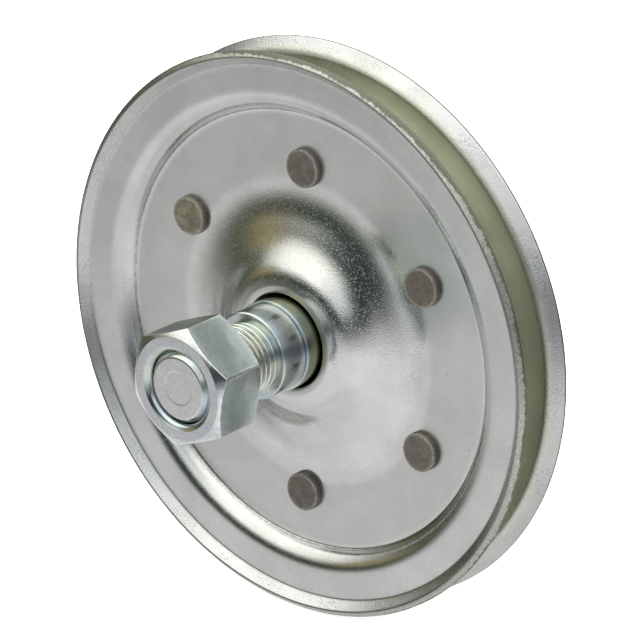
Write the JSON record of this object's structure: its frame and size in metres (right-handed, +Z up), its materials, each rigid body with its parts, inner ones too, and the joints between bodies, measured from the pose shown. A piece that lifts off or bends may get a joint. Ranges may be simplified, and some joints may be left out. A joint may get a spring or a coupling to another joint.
{
  "type": "stud-mounted idler pulley",
  "caption": "Grooved idler pulley of two riveted stamped steel discs turning on balls around a shouldered threaded stud with a hex nut.",
  "frame": {"origin": "the pulley's centre: on the stud's axis, in the middle plane of the belt groove", "axes": "+Y along the axis of rotation, away from the threaded end of the stud, which points to -Y; +Z up"},
  "size_m": [0.127, 0.0578, 0.127],
  "materials": {
    "sheet_zinc": "satin zinc plate on stamped sheet, pale grey, darker and glossier on the dome",
    "machined_zinc": "bright zinc plate on turned steel, faint green and yellow tint",
    "nut_zinc": "bright zinc plate on forged steel, faint blue-green tint",
    "rivet_steel": "bare rivet steel, dark grey-brown, matt",
    "ball_steel": "polished bearing steel"
  },
  "bodies": {
    "stud": {"stud": "machined_zinc", "inner_race": "machined_zinc"},
    "pulley": {"front_disc": "sheet_zinc", "rear_disc": "sheet_zinc", "rivet_1": "rivet_steel", "rivet_2": "rivet_steel", "rivet_3": "rivet_steel", "rivet_4": "rivet_steel", "rivet_5": "rivet_steel", "rivet_6": "rivet_steel"},
    "ball_set": {"ball_01": "ball_steel", "ball_02": "ball_steel", "ball_03": "ball_steel", "ball_04": "ball_steel", "ball_05": "ball_steel", "ball_06": "ball_steel", "ball_07": "ball_steel", "ball_08": "ball_steel", "ball_09": "ball_steel", "ball_10": "ball_steel"},
    "nut": {"nut": "nut_zinc"}
  },
  "joints": [
    {"name": "pulley_spin", "type": "hinge", "parent": "stud", "child": "pulley", "pos_m": [0, 0, 0], "axis": [0, 1, 0], "continuous": true},
    {"name": "ball_roll", "type": "hinge", "parent": "stud", "child": "ball_set", "pos_m": [0, 0, 0], "axis": [0, 1, 0], "continuous": true},
    {"name": "nut_travel", "type": "slide", "parent": "stud", "child": "nut", "axis": [0, 1, 0], "range_m": [-0.0137, 0.0097]}
  ],
  "couplings": [
    {"joint": "ball_roll", "follows": "pulley_spin", "ratio": 0.581}
  ]
}
